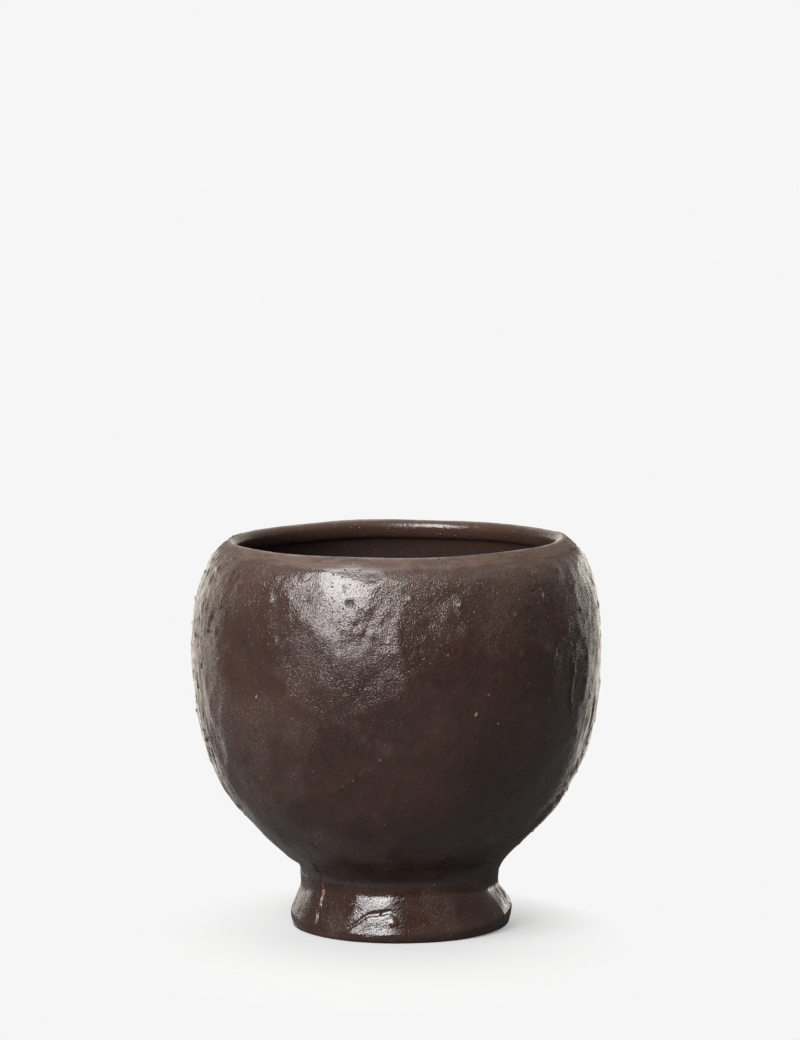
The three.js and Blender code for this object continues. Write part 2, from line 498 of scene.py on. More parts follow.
HAZE_AND_SHEEN_PATCHES = tuple(
    Patch(*row)
    for row in (
        (-22.0, 71.0, 13.0, 0.65), (-14.5, 78.0, 6.0, 0.05), (-50.0, 52.0, 11.0, 1.0), (-37.0, 57.0, 8.0, 0.4),
        (4.0, 73.0, 11.0, 0.38), (-6.0, 60.0, 10.0, 0.15), (40.0, 54.0, 15.0, 0.0), (38.0, 74.0, 9.0, 0.6),
        (10.0, 36.0, 22.0, 0.0), (-33.0, 78.0, 7.0, 0.2), (-43.0, 66.0, 8.0, 0.1), (-55.0, 6.0, 10.0, 0.1),
        (18.0, 6.5, 5.0, 0.8), (30.0, 6.5, 3.5, 0.9),
    )
)

STRUCK = Patch(-15.0, 76.0, 11.0)
SCRAPED = Patch(-6.0, 72.0, 8.0)

# The foot's seam and fold, each as angles from the front to the right and as heights
SEAM_PATH = (
    (-49.6, -49.2, -48.8, -48.0, -48.2, -49.1, -49.6, -46.9, -44.8, -42.8),
    (1.9, 3.0, 4.8, 6.9, 8.2, 9.9, 12.0, 13.7, 15.6, 18.1),
)
FOLD_PATH = (
    (-29.4, -23.9, -19.6, -15.4, -11.5, -7.1, -3.8, -0.6, 2.1),
    (2.1, 3.4, 4.6, 5.9, 6.1, 6.3, 6.7, 6.1, 4.9),
)
RUST_SPOTS = ((-10.1, 70.6), (-1.3, 4.4))

# The scratch on the right flank: its heights, with their step, and its angle
SCRATCH_RUN = (50.0, 63.0, 0.5)
SCRATCH_ANGLE = 59.2


def smooth(value: np.ndarray, low: float, high: float) -> np.ndarray:
    """Eases from 0 at low to 1 at high."""
    t = np.clip((value - low) / (high - low), 0.0, 1.0)
    return t * t * (3 - 2 * t)


class Zone(Enum):
    """Where the hand's work sets in and where it fades out: heights in millimetres, or angles in degrees."""

    FLARE = ((0.2, 1.9), (3.0, 9.5))
    NECK = ((3.0, 8.0), (9.4, 12.0))
    FOOT_FACE = ((0.3, 2.0), (9.5, 12.0))
    SEAM = ((1.6, 3.0), (15.0, 18.5))
    SEAM_RUST = ((7.5, 8.5), (10.5, 12.0))
    FOLD_ANGLES = ((-30.0, -24.0), (-5.0, 2.0))
    FILLED_ANGLES = ((10.0, 70.0), (110.0, 170.0))
    CREASE = ((10.5, 13.0), (18.0, 32.0))
    WEDGE = ((61.0, 65.0), (73.0, 77.0))
    PADDLED = ((18.0, 26.0), (84.2, 85.4))

    def share(self, value: np.ndarray) -> np.ndarray:
        """Eases from 0 to 1 where the zone begins and back to 0 where it ends."""
        begin, end = self.value
        return smooth(value, *begin) * (1 - smooth(value, *end))


class Rise(Enum):
    """Heights over which one kind of work gives way to another, in millimetres."""

    FOOT_GRAIN = (0.6, 2.5)
    STREAKS = (12.0, 20.0)
    BOWL_GRAIN = (13.0, 22.0)
    SWAY = (60.0, 84.0)
    GLOSSY_SHOULDER = (72.0, 78.0)
    FINGERS_END = (76.0, 80.0)
    DARK_END = (77.0, 81.0)
    INNER_GRIT = (80.5, 83.0)
    LIP = (82.3, 84.3)
    LIP_EDGE = (82.7, 84.1)

    def share(self, height: np.ndarray) -> np.ndarray:
        """Eases from 0 below to 1 above."""
        return smooth(height, *self.value)


def bell(value: np.ndarray, middle: float, width: float) -> np.ndarray:
    """A bell of height 1 round a middle value."""
    return np.exp(-(((value - middle) / width) ** 2))


def facing(points: np.ndarray) -> np.ndarray:
    """Each point's angle from the front to the right, in degrees."""
    return np.degrees(np.arctan2(points[:, 0], -points[:, 1]))


def around(angle: np.ndarray, middle: float) -> np.ndarray:
    """How far round the outside each angle lies from a middle one, in millimetres."""
    return np.radians((angle - middle + 180.0) % 360.0 - 180.0) * SKIN_RADIUS


def lumps(points: np.ndarray, scale: float, shift: Triple = (0.0, 0.0, 0.0)) -> np.ndarray:
    """Soft noise at each point, about 0, in lumps of about 1 / scale millimetres."""
    return np.array([noise.noise(Vector(point) * scale + Vector(shift)) for point in points])


def broken(points: np.ndarray, scale: float) -> np.ndarray:
    """Noise as from lumps, broken up by two finer layers."""
    return np.array([noise.fractal(Vector(point) * scale, 1.0, 2.0, 3) for point in points])


def chord(radius: np.ndarray, angle: np.ndarray, half: float, soft: float) -> np.ndarray:
    """How far a round stands proud of a flat across it.

    Args:
        radius: Distance from the axis, in millimetres.
        angle: Angle from the middle of the flat, in degrees.
        half: Half of the angle that the flat spans.
        soft: How far its edges are rounded, in millimetres.

    Returns:
        The depth to take off, in millimetres.
    """
    widest = 60.0
    turn = np.radians(np.clip(angle, -widest, widest))
    proud = radius * (1 - math.cos(math.radians(half)) / np.cos(turn))
    return (proud + np.hypot(proud, soft)) / 2 * (np.abs(angle) < widest)


def direction(angle: float, elevation: float) -> np.ndarray:
    """The unit vector at an angle from the front to the right and an elevation, both in degrees."""
    turn, lean = math.radians(angle), math.radians(elevation)
    return np.array([math.sin(turn) * math.cos(lean), -math.cos(turn) * math.cos(lean), math.sin(lean)])


def keep(piece: bpy.types.Object, name: str, values: np.ndarray) -> None:
    """Keeps one number for each point of a piece as a named attribute."""
    attribute = piece.data.attributes.new(name, "FLOAT", "POINT")
    attribute.data.foreach_set("value", values)


def deselect() -> None:
    """Leaves nothing selected, so that an operator acts only on what is picked next."""
    bpy.ops.object.select_all(action="DESELECT")


def pick(piece: bpy.types.Object) -> None:
    """Makes a piece the only selected and the active object.

    Args:
        piece: The piece.
    """
    deselect()
    piece.select_set(True)
    bpy.context.view_layer.objects.active = piece


@contextmanager
def editing(piece: bpy.types.Object) -> Iterator[None]:
    """Opens a piece in edit mode, with all of it selected, and closes it again.

    Args:
        piece: The piece.

    Yields:
        Nothing, once, while the piece is open.
    """
    pick(piece)
    bpy.ops.object.mode_set(mode="EDIT")
    bpy.ops.mesh.select_all(action="SELECT")
    yield
    bpy.ops.object.mode_set(mode="OBJECT")


def coordinates(piece: bpy.types.Object) -> np.ndarray:
    """Reads where a piece's points are.

    Args:
        piece: The piece.

    Returns:
        Its points, in millimetres, one a row.
    """
    flat = np.empty(len(piece.data.vertices) * 3, np.float32)
    piece.data.vertices.foreach_get("co", flat)
    return flat.reshape(-1, 3).astype(float) / MM


def place(piece: bpy.types.Object, points: np.ndarray) -> None:
    """Puts the piece's points at these places, in millimetres."""
    piece.data.vertices.foreach_set("co", (points * MM).astype(np.float32).ravel())
    piece.data.update()


def normals(piece: bpy.types.Object) -> np.ndarray:
    """Reads which way a piece's surface faces.

    Args:
        piece: The piece.

    Returns:
        A unit vector for each point, one a row.
    """
    flat = np.empty(len(piece.data.vertices) * 3, np.float32)
    piece.data.vertex_normals.foreach_get("vector", flat)
    return flat.reshape(-1, 3).astype(float)


@dataclass
class Clay:
    """The whole cup as one body of clay, until it is parted along its joints."""

    foot: FootRing
    collar: SlipCollar
    bowl: Bowl
    lip: Lip
    segments: int = 480
    seed: int = 7
    skin: float = 0.15
    crest_width: float = 0.2
    lobe_rise: float = 0.2
    foot_off_centre: float = 0.9
    blows: int = 84
    blow_heights: Range = (22.0, 80.0)
    blow_reach: float = 22.0
    blow_soft: float = 0.04
    blow_deepest: float = 1.2
    grog: int = 240
    shoulder_grog: int = 150
    flank_grog: int = 60
    lip_grog: int = 70
    body: bpy.types.Object | None = None
    outside: np.ndarray | None = None
    inside: np.ndarray | None = None
    kept: dict[str, np.ndarray] = field(default_factory=dict)

    def outer_line(self) -> np.ndarray:
        """The outside's outline from the standing face to the lip's crest.

        Returns:
            Its points, as radius and height, from the lowest to the highest.
        """
        line = joined(self.foot.face(), self.collar.face(), self.bowl.face(), self.lip.face())
        crest = max(range(len(line)), key=lambda i: line[i][1])
        return np.array(line[: crest + 1])

    def spin(self) -> None:
        """Draws the outline point by point and spins it round the axis."""
        outline = joined(
            self.bowl.underside(),
            self.collar.bore(),
            self.foot.hollow(),
            self.foot.face(),
            self.collar.face(),
            self.bowl.face(),
            self.lip.face(),
            self.bowl.hollow(),
        )
        deselect()
        bpy.ops.mesh.primitive_plane_add(size=MM, location=(outline[0][0] * MM, 0.0, outline[0][1] * MM))
        self.body = bpy.context.active_object
        bpy.ops.object.transform_apply(location=True)
        with editing(self.body):
            bpy.ops.mesh.merge(type="CENTER")
            for before, after in zip(outline, outline[1:]):
                step = (0.0, -(after[0] - before[0]) * MM, (after[1] - before[1]) * MM)
                bpy.ops.mesh.extrude_vertices_move(TRANSFORM_OT_translate={"value": step})
        turn = self.body.modifiers.new("turn", "SCREW")
        turn.axis = "Z"
        turn.steps = turn.render_steps = self.segments
        turn.use_merge_vertices = True
        turn.merge_threshold = MERGE * MM
        bpy.ops.object.modifier_apply(modifier=turn.name)
        with editing(self.body):
            bpy.ops.mesh.remove_doubles(threshold=MERGE * MM)
            bpy.ops.mesh.normals_make_consistent(inside=False)
        LOG.info("clay: %d points", len(self.body.data.vertices))

    def mark_pieces(self) -> None:
        """Gives each face the number of the piece that it belongs to, as its material index."""
        mesh = self.body.data
        centres = np.empty(len(mesh.polygons) * 3, np.float32)
        mesh.polygons.foreach_get("center", centres)
        centres = centres.reshape(-1, 3) / MM
        radius, height = np.hypot(centres[:, 0], centres[:, 1]), centres[:, 2]
        order = list(Node)
        owner = np.full(len(height), order.index(Node.BOWL))
        owner[height < self.foot.height] = order.index(Node.FOOT)
        ring = (height > self.foot.height) & (height < self.collar.crest[1]) & (radius > self.foot.bore - 0.2)
        owner[ring] = order.index(Node.COLLAR)
        owner[height > self.bowl.edge[1]] = order.index(Node.LIP)
        for node in order:
            mesh.materials.append(bpy.data.materials.new(node.value))
        mesh.polygons.foreach_set("material_index", owner.astype(np.int32))

    def form(self) -> None:
        """Works the clay, from the large unevenness to the grain, and keeps what the glaze needs to know."""
        points = coordinates(self.body)
        radius = np.hypot(points[:, 0], points[:, 1])
        line = self.outer_line()
        self.outside = np.abs(radius - np.interp(points[:, 2], line[:, 1], line[:, 0])) < self.skin
        self.inside = (points[:, 2] > self.collar.top + 1.0) & ~self.outside
        # A bell along the lip's crest, where the colour paints a pale highlight line.
        self.kept["crest"] = bell(points[:, 2], self.lip.top, self.crest_width)
        self.unround(points)
        self.paddle(points)
        self.knead_foot(points)
        place(self.body, points)
        self.grain(points)
        self.speckle()
        self.wear()
        for name, values in self.kept.items():
            keep(self.body, name, values.astype(np.float32))

    def unround(self, points: np.ndarray) -> None:
        """Leaves the cup a little out of round, with its foot off centre and its lip higher on the right.

        Args:
            points: The clay's points, which are moved.
        """
        angle = np.arctan2(points[:, 1], points[:, 0])
        height = points[:, 2]
        sunk = 1 - smooth(height, self.foot.flare_height, self.collar.crest[1])
        lobes = self.lobe_rise * np.cos(3 * angle)
        shift = self.outside * (lobes + self.foot_off_centre * sunk * np.cos(angle))
        points[:, 0] += shift * np.cos(angle)
        points[:, 1] += shift * np.sin(angle)
        dent = -0.12 * bell(height, 83.3, 0.4)
        points[:, 2] += self.outside * dent * (1 + 0.8 * np.cos(5 * angle + 0.7) * np.cos(2 * angle))
        sway = 0.36 * np.cos(angle) + 0.12 * np.cos(3 * angle + 1.0) + 0.08 * np.cos(7 * angle)
        points[:, 2] += sway * Rise.SWAY.share(height)

    def paddle(self, points: np.ndarray) -> None:
        """Flattens the outside under each blow of the paddle.

        Args:
            points: The clay's points, which are moved.
        """
        draw = np.random.default_rng(self.seed)
        marks = list(FRONT_MARKS)
        low, high = self.blow_heights
        for i in range(self.blows):
            height = low + (high - low) * ((i + 0.5) / self.blows)
            angle = (i * GOLDEN_ANGLE) % 360.0 - 180.0 + draw.uniform(-6, 6)
            depth = draw.uniform(0.1, 0.3)
            marks.append(PaddleMark(angle, height, depth, draw.normal(0, 2), draw.normal(0, 2)))
        line = self.outer_line()
        for mark in marks:
            self.press(points, line, mark)

    def press(self, points: np.ndarray, line: np.ndarray, mark: PaddleMark) -> None:
        """Presses one flat into the outside.

        Args:
            points: The clay's points, which are moved.
            line: The outside's outline.
            mark: The blow.
        """
        radius = np.interp(mark.height, line[:, 1], line[:, 0])
        rising = line[:, 1] + 1e-9 * np.arange(len(line))
        slope = np.interp(mark.height, line[:, 1], np.gradient(line[:, 0], rising))
        out = direction(mark.angle + mark.turn, math.degrees(math.atan(-slope)) + mark.lean)
        centre = direction(mark.angle, 0.0) * radius + np.array([0.0, 0.0, mark.height]) - mark.depth * out
        away = points - centre
        proud = away @ out
        near = np.einsum("ij,ij->i", away, away) < self.blow_reach**2
        over = (proud + np.hypot(proud, self.blow_soft) - self.blow_soft) / 2
        push = np.where(self.outside & near, over, 0.0)
        push *= Zone.PADDLED.share(points[:, 2])
        points -= np.clip(push, 0.0, self.blow_deepest)[:, None] * out

    def knead_foot(self, points: np.ndarray) -> None:
        """Leaves the foot as the fingers did: its flare, seam, fold, flats and crease, and where rust shows.

        Args:
            points: The clay's points, which are moved.
        """
        angle = facing(points)
        turn = np.radians(angle)
        height = points[:, 2]
        radius = np.hypot(points[:, 0], points[:, 1])
        beside = np.sin(turn) ** 4
        lift = (1.5 + 0.4 * np.sin(turn)) * beside * Zone.FLARE.share(height)
        points[:, 2] += self.outside * lift
        front = smooth(np.cos(turn), 0.3, 0.85)
        points[:, 2] += self.outside * 1.6 * front * Zone.NECK.share(height)
        undercut = 0.25 * beside * (1 - smooth(height, 0.0, self.foot.flare_height))
        seam = np.interp(height, SEAM_PATH[1], SEAM_PATH[0]) + 0.5 * np.sin(height * 2.1)
        off = np.radians(angle - seam) * radius
        along = Zone.SEAM.share(height)
        groove = along * (-0.3 * bell(off, 0.0, 0.3) + 0.04 * bell(off, -0.9, 0.9))
        up = height - np.interp(angle, FOLD_PATH[0], FOLD_PATH[1])
        lap = 0.4 * smooth(-up, 0.0, 0.5) - 0.22 * (1 - smooth(up, 0.0, 0.9)) - 0.18 * smooth(-up, 1.2, 4.6)
        lap *= Zone.FOLD_ANGLES.share(angle)
        flat = chord(radius, angle + 40.0, 15.0, 0.3)
        flat += chord(radius, angle - np.interp(height, (2.0, 10.0), (81.0, 75.0)), 11.0, 0.04)
        flat += chord(radius, angle + 14.0, 10.0, 0.3)
        flat *= Zone.FOOT_FACE.share(height)
        filled = 0.75 * bell(height, 12.6, 2.2) * Zone.FILLED_ANGLES.share(angle)
        crease = filled - 0.5 * bell(height, 13.6, 1.1) * (1 - smooth(np.abs(angle + 95.0), 25.0, 60.0))
        rusty = bell(off, 0.0, 0.3) * along * (0.6 * Zone.SEAM_RUST.share(height) + 0.25)
        for spot_angle, spot_height in RUST_SPOTS:
            away = (np.radians(angle - spot_angle) * radius) ** 2 + (height - spot_height) ** 2
            rusty = np.maximum(rusty, 0.6 * np.exp(-away / 0.6**2))
        self.kept["rust"] = self.outside * rusty
        push = self.outside * (groove + lap + crease - flat - undercut)
        points += push[:, None] * normals(self.body)

    def grain(self, points: np.ndarray) -> None:
        """Roughens the clay by pinches, drags, grit and streaks, and keeps where the glaze is hazy and painted
        with a sheen, and where the lip and inside are painted lighter.

        Args:
            points: The clay's points, which set where each grain is strong.
        """
        height = points[:, 2]
        angle = facing(points)
        side = np.abs(np.sin(np.radians(angle)))
        beside = smooth(side, 0.72, 0.9)
        lip = Rise.LIP.share(height - 0.9 * beside)
        body = self.outside * Rise.FOOT_GRAIN.share(height) * (1 - (0.7 - 0.3 * beside) * lip)
        coarse = 0.55 + 0.9 * lumps(points, 0.06)
        haze_and_sheen = 0.35 + 0.5 * lumps(points, 0.045, (7.0, 3.0, 1.0))
        for patches, level in ((GRAIN_PATCHES, coarse), (HAZE_AND_SHEEN_PATCHES, haze_and_sheen)):
            for patch in patches:
                level += patch.near(angle, height) * (patch.level - level)
        ends = 1 - Zone.CREASE.share(height) - 0.35 * Rise.GLOSSY_SHOULDER.share(height)
        dry = body * smooth(side, 0.9, 0.985) * ends
        haze_and_sheen += 0.45 * broken(points, 0.16)
        # Hazy places, the dry bands on the sides among them: rougher and veiled, and also painted paler with a
        # sheen and with glints.
        self.kept["haze_and_sheen"] = np.maximum(self.outside * smooth(haze_and_sheen, 0.15, 0.8), 0.75 * dry)
        middle = np.interp(height, (62.0, 80.0), (-12.5, -15.5))
        wedge = 1 - smooth(np.abs(angle - middle) * 0.75, 0.0, 1.0 + 0.5 * np.clip(height - 62.0, 0, 20))
        wedge *= Zone.WEDGE.share(height)
        coarse += wedge * (0.65 - coarse)
        coarse = body * np.clip(coarse, 0.1, 1.6) / 1.6 * (0.45 + 0.55 * Rise.BOWL_GRAIN.share(height))
        coarse += 0.16 * self.inside * Rise.INNER_GRIT.share(height)
        self.kept["coarse"] = coarse
        patchy = broken(points, 0.3)
        # The lip, which the colour paints lighter, as where the light falls on it from above, and less so on
        # its inner face, which lies in shade; the lip is also rougher.
        edge = Rise.LIP_EDGE.share(height + 0.35 * patchy) * (0.9 + 0.4 * patchy)
        self.kept["edge"] = edge * (1 - 0.85 * self.inside)
        # Where the inside is painted a lighter, greyer brown for the light and the neutral reflection in its
        # shaded hollow, fading out below the lip.
        self.kept["inner"] = self.inside * (1 - Rise.DARK_END.share(height))
        struck, scraped = (patch.near(angle, height) for patch in (STRUCK, SCRAPED))
        self.roughen(PINCH, body * (1 - 0.85 * struck))
        self.roughen(DRAG, coarse * (1 - 0.6 * struck))
        self.roughen(SCRAPE, body * scraped)
        self.roughen(GRIT, coarse)
        self.roughen(STREAKS, dry * (0.5 + 0.5 * Rise.STREAKS.share(height)))
        self.roughen(FINGERS, self.inside * (1 - Rise.FINGERS_END.share(height)))

    def roughen(self, grain: Grain, weight: np.ndarray) -> None:
        """Displaces the clay along its normals by a cloud texture.

        Args:
            grain: The roughness to give.
            weight: How strongly it acts on each point, from 0 to 1.
        """
        group = self.body.vertex_groups.new(name=grain.name)
        steps = np.round(weight * WEIGHT_STEPS).astype(int)
        for step in range(1, WEIGHT_STEPS + 1):
            group.add(np.flatnonzero(steps == step).tolist(), step / WEIGHT_STEPS, "REPLACE")
        texture = bpy.data.textures.new(grain.name, "CLOUDS")
        texture.noise_scale = grain.size * MM
        texture.noise_depth = grain.layers
        texture.noise_type = "SOFT_NOISE" if grain.draw == 1.0 else "HARD_NOISE"
        texture.noise_basis = "IMPROVED_PERLIN"
        deselect()
        bpy.ops.object.empty_add()
        guide = bpy.context.active_object
        guide.scale = (1.0, 1.0, grain.draw)
        guide.rotation_euler = (0.0, math.radians(grain.tilt), 0.0)
        push = self.body.modifiers.new(grain.name, "DISPLACE")
        push.texture = texture
        push.texture_coords = "OBJECT"
        push.texture_coords_object = guide
        push.strength = grain.rise * MM
        push.mid_level = 0.5
        push.vertex_group = group.name
        pick(self.body)
        bpy.ops.object.modifier_apply(modifier=push.name)
        self.body.vertex_groups.remove(self.body.vertex_groups[grain.name])
        bpy.data.objects.remove(guide)

    def blemishes(self) -> list[Blemish]:
        """Lists the grains of grog and the pits: those seen at the front, then others drawn at random.

        Returns:
            The blemishes, in the order in which they are set.
        """
        draw = np.random.default_rng(self.seed + 1)
        spots = list(FRONT_BLEMISHES)
        for height in np.arange(*SCRATCH_RUN):
            angle = SCRATCH_ANGLE + 0.9 * math.sin(0.55 * height)
            spots.append(Blemish(angle, height, 0.45, 0.2, 0.35 + 0.3 * abs(math.sin(2.3 * height))))
        for _ in range(self.grog):
            height = draw.uniform(18.0, 82.0)
            rise = draw.choice((-0.16, 0.12, 0.18))
            tint = max(0.0, draw.uniform(-1.6, 0.75))
            spots.append(Blemish(draw.uniform(-180, 180), height, draw.uniform(0.4, 0.8), rise, tint))
        for _ in range(self.shoulder_grog):
            height = draw.uniform(64.0, 82.5)
            rise = draw.choice((-0.25, 0.2, 0.3))
            spots.append(Blemish(draw.uniform(-180, 180), height, draw.uniform(0.7, 1.2), rise, 0.1))
        for _ in range(self.flank_grog):
            angle = draw.choice((-90, 90)) + draw.normal(0, 14)
            rise = draw.choice((-0.3, 0.2, 0.35))
            spots.append(Blemish(angle, draw.uniform(24.0, 84.0), draw.uniform(0.5, 0.8), rise, 0.2))
        for _ in range(self.lip_grog):
            angle, height = draw.uniform(-180, 180), draw.uniform(83.9, 85.6)
            spots.append(Blemish(angle, height, 0.5, draw.choice((-0.12, 0.16)), 0.2))
        return spots

    def speckle(self) -> None:
        """Sets the grains of grog into the outside and the pits between them, and keeps where they are."""
        points = coordinates(self.body)
        out = normals(self.body)
        skin = np.flatnonzero(self.outside)
        angle = facing(points[skin])
        tint = np.zeros(len(points), np.float32)
        pit = np.zeros(len(points), np.float32)
        for spot in self.blemishes():
            turn = around(angle, spot.angle)
            centre = skin[np.argmin(turn**2 + (points[skin, 2] - spot.height) ** 2)]
            away = points[skin] - points[centre]
            fall = np.exp(-np.einsum("ij,ij->i", away, away) / (0.7 * spot.width) ** 2)
            points[skin] += (spot.rise * fall)[:, None] * out[centre]
            kept, level = (tint, spot.tint) if spot.rise > 0 else (pit, 1.0)
            kept[skin] = np.maximum(kept[skin], fall * level)
        place(self.body, points)
        self.kept["tint"] = tint
        self.kept["pit"] = pit

    def wear(self) -> None:
        """Keeps how far each point stands out of its neighbours, where the glaze runs thin."""
        mesh = self.body.data
        points = coordinates(self.body)
        ends = np.empty(len(mesh.edges) * 2, np.int32)
        mesh.edges.foreach_get("vertices", ends)
        ends = ends.reshape(-1, 2)
        count = np.bincount(ends.ravel(), minlength=len(points)).astype(float)
        level = points.copy()
        for _ in range(3):
            total = np.zeros_like(level)
            np.add.at(total, ends[:, 0], level[ends[:, 1]])
            np.add.at(total, ends[:, 1], level[ends[:, 0]])
            level = total / count[:, None]
        proud = np.einsum("ij,ij->i", points - level, normals(self.body))
        self.kept["wear"] = np.clip(0.5 + proud * 6.0, 0.0, 1.0)

    def part(self) -> dict[Node, bpy.types.Object]:
        """Parts the clay along its joints and closes each piece where it seats on its neighbour.

        Returns:
            The pieces by node.
        """
        with editing(self.body):
            bpy.ops.mesh.separate(type="MATERIAL")
        pieces = {Node(piece.data.materials[0].name): piece for piece in list(bpy.context.selected_objects)}
        seat, neck = self.bowl.edge[1], self.foot.height
        joints = (
            (Node.LIP, seat, 3.0),
            (Node.FOOT, neck, 2.0),
            (Node.COLLAR, neck, 0.5),
            (Node.BOWL, seat, 3.0),
        )
        for node, height, slack in joints:
            self.bridge(pieces[node], height - slack, height + slack)
        for node in (Node.COLLAR, Node.BOWL):
            self.widen(pieces[node])
            self.bridge(pieces[node], self.collar.top - 0.5, self.collar.crest[1] + 1.0)
        for node, piece in pieces.items():
            self.finish(piece, node)
        return pieces

    def select_edges(self, piece: bpy.types.Object, low: float, high: float) -> None:
        """Selects a piece's open edges between two heights.

        Args:
            piece: The piece, which is open in edit mode.
            low: The lower height, in millimetres.
            high: The upper height, in millimetres.
        """
        bpy.ops.mesh.select_mode(type="EDGE")
        bpy.ops.mesh.select_all(action="DESELECT")
        mesh = bmesh.from_edit_mesh(piece.data)
        for edge in mesh.edges:
            if edge.is_boundary and all(low < vert.co.z / MM < high for vert in edge.verts):
                edge.select = True
        bmesh.update_edit_mesh(piece.data)

    def bridge(self, piece: bpy.types.Object, low: float, high: float) -> None:
        """Closes a piece between the two open rings that lie between two heights.

        Args:
            piece: The piece.
            low: The lower height, in millimetres.
            high: The upper height, in millimetres.
        """
        with editing(piece):
            self.select_edges(piece, low, high)
            bpy.ops.mesh.bridge_edge_loops()

    def widen(self, piece: bpy.types.Object) -> None:
        """Draws the ring at the hollow's ceiling out to where the bead ends, flat on the slip's upper face.

        Args:
            piece: The slip or the bowl.
        """
        grow = self.collar.inner_edge / self.foot.bore
        with editing(piece):
            self.select_edges(piece, self.collar.top - 0.4, self.collar.top + 0.4)
            bpy.ops.mesh.extrude_edges_move()
            bpy.ops.transform.resize(value=(grow, grow, 1.0), center_override=(0, 0, self.collar.top * MM))

    def finish(self, piece: bpy.types.Object, node: Node) -> None:
        """Names a piece, turns its faces out and shades it smooth up to its real edges.

        Args:
            piece: The piece.
            node: The node that it stands for.
        """
        piece.name = piece.data.name = f"clay_{node.value}"
        with editing(piece):
            bpy.ops.mesh.normals_make_consistent(inside=False)
        bpy.ops.object.shade_smooth_by_angle(angle=math.radians(50.0))
        LOG.info("%s: %d triangles", piece.name, sum(len(face.vertices) - 2 for face in piece.data.polygons))


Socket = bpy.types.NodeSocket


class Graph:
    """Adds nodes to a node tree, with their inputs set or linked as they are made."""

    def __init__(self, tree: bpy.types.NodeTree) -> None:
        """Takes an empty or a new tree."""
        self.tree = tree

    def add(self, kind: str, inputs: dict | None = None, **settings: object) -> bpy.types.Node:
        """Adds a node.

        Args:
            kind: The node's type, without the prefix ShaderNode.
            inputs: Socket names or numbers, each with a value or an output socket to link from.
            settings: Other properties of the node.

        Returns:
            The node.
        """
        prefix = "" if kind.startswith("NodeGroup") else "ShaderNode"
        node = self.tree.nodes.new(prefix + kind)
        for name, value in settings.items():
            setattr(node, name, value)
        for key, value in (inputs or {}).items():
            if isinstance(value, Socket):
                self.tree.links.new(value, node.inputs[key])
            else:
                node.inputs[key].default_value = value
        return node

    def math(self, operation: str, first: object, *others: object) -> Socket:
        """Chains Math nodes of one kind.

        Args:
            operation: What the nodes do.
            first: The value to start from.
            others: The values that follow, each with a node of its own.

        Returns:
            The last node's output.
        """
        for other in others:
            first = self.add("Math", {0: first, 1: other}, operation=operation).outputs[0]
        return first

    def plus(self, *values: object) -> Socket:
        """Adds values up."""
        return self.math("ADD", *values)

    def times(self, *values: object) -> Socket:
        """Multiplies values."""
        return self.math("MULTIPLY", *values)

    def vector(self, operation: str, *values: object, output: str = "Vector") -> Socket:
        """Adds a Vector Math node and returns one of its outputs."""
        return self.add("VectorMath", dict(enumerate(values)), operation=operation).outputs[output]

    def span(self, value: Socket, low: float, high: float, to: Range = (0.0, 1.0)) -> Socket:
        """Maps a value from the range low to high onto another range, clamped."""
        inputs = {"Value": value, "From Min": low, "From Max": high, "To Min": to[0], "To Max": to[1]}
        return self.add("MapRange", inputs).outputs[0]

    def blend(self, share: Socket, first: Socket | Colour, second: Socket | Colour) -> Socket:
        """Mixes two colours.

        Args:
            share: How much of the second colour there is, from 0 to 1.
            first: The first colour.
            second: The second colour.

        Returns:
            The mixture.
        """
        node = self.add("Mix", {"Factor": share}, data_type="RGBA")
        for socket, value in zip((node.inputs[6], node.inputs[7]), (first, second)):
            if isinstance(value, Socket):
                self.tree.links.new(value, socket)
            else:
                socket.default_value = (*value, 1.0)
        return node.outputs[2]

    def grain(self, spot: Socket, size: float, detail: float = 2.0, roughness: float = 0.5) -> Socket:
        """Adds noise whose lumps have a size in millimetres and returns its value."""
        inputs = {"Vector": spot, "Scale": 1.0 / (size * MM), "Detail": detail, "Roughness": roughness}
        return self.add("TexNoise", inputs).outputs[0]

    def cells(self, spot: Socket, size: float) -> tuple[Socket, bpy.types.NodeOutputs]:
        """Adds cells of a size in millimetres: the distance from their middles, and three chances each."""
        made = self.add("TexVoronoi", {"Vector": spot, "Scale": 1.0 / (size * MM)}, feature="F1").outputs
        return made["Distance"], self.add("SeparateColor", {"Color": made["Color"]}).outputs


